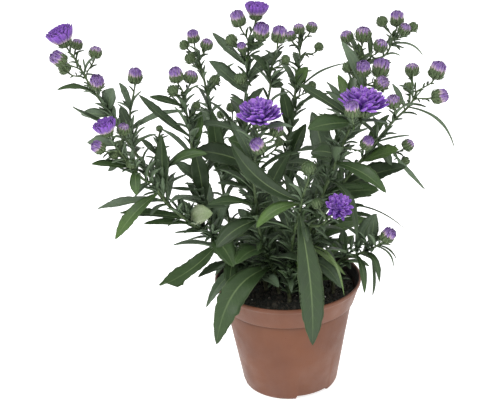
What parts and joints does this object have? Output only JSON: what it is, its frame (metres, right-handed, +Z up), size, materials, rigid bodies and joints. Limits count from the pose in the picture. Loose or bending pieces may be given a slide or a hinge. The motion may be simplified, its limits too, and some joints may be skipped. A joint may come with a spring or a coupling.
{
  "type": "potted aster",
  "caption": "Bushy aster with narrow toothed leaves and violet flower heads and buds on branching stems, in a round terracotta-coloured plastic nursery pot filled with dark potting mix.",
  "frame": {"origin": "centre of the pot's flat underside, on the surface it stands on", "axes": "+Z up along the pot's axis; -Y toward the front of the plant, where the picture was taken from; +X to the right as seen from the front"},
  "size_m": [0.3078, 0.2103, 0.3206],
  "materials": {
    "pot_plastic": "satin",
    "potting_mix": "rough, crumbly",
    "leaf": "soft satin",
    "petal": "matt, velvety"
  },
  "bodies": {
    "root": {"pot": "pot_plastic", "soil": "potting_mix", "stem_back": "leaf", "stem_back_left": "leaf", "stem_back_right": "leaf", "stem_centre": "leaf", "stem_front": "leaf", "stem_front_left": "leaf", "stem_front_right": "leaf", "stem_left": "leaf", "stem_left_back": "leaf", "stem_left_mid": "leaf", "stem_right": "leaf", "stem_right_back": "leaf", "stem_right_low": "leaf", "stem_right_mid": "leaf", "bloom_back_right_1": "petal", "bloom_centre_1": "petal", "bloom_front_1": "petal", "bloom_front_left_1": "petal", "bloom_front_right_1": "petal", "bloom_left_1": "petal", "bloom_left_2": "petal", "bud_back_1": "petal", "bud_back_2": "petal", "bud_back_3": "petal", "bud_back_left_1": "petal", "bud_centre_1": "petal", "bud_centre_2": "petal", "bud_centre_3": "petal", "bud_centre_4": "petal", "bud_front_left_1": "petal", "bud_front_left_2": "petal", "bud_front_right_1": "petal", "bud_front_right_2": "petal", "bud_left_1": "petal", "bud_left_2": "petal", "bud_left_3": "petal", "bud_left_4": "petal", "bud_left_5": "petal", "bud_left_6": "petal", "bud_left_7": "petal", "bud_left_back_1": "petal", "bud_left_back_2": "petal", "bud_left_mid_1": "petal", "bud_left_mid_2": "petal", "bud_right_1": "petal", "bud_right_2": "petal", "bud_right_3": "petal", "bud_right_4": "petal", "bud_right_5": "petal", "bud_right_back_1": "petal", "bud_right_back_2": "petal", "bud_right_back_3": "petal", "bud_right_back_4": "petal", "bud_right_back_5": "petal", "bud_right_low_1": "petal", "bud_right_mid_1": "petal", "bud_right_mid_2": "petal", "bud_right_mid_3": "petal"}
  },
  "joints": []
}
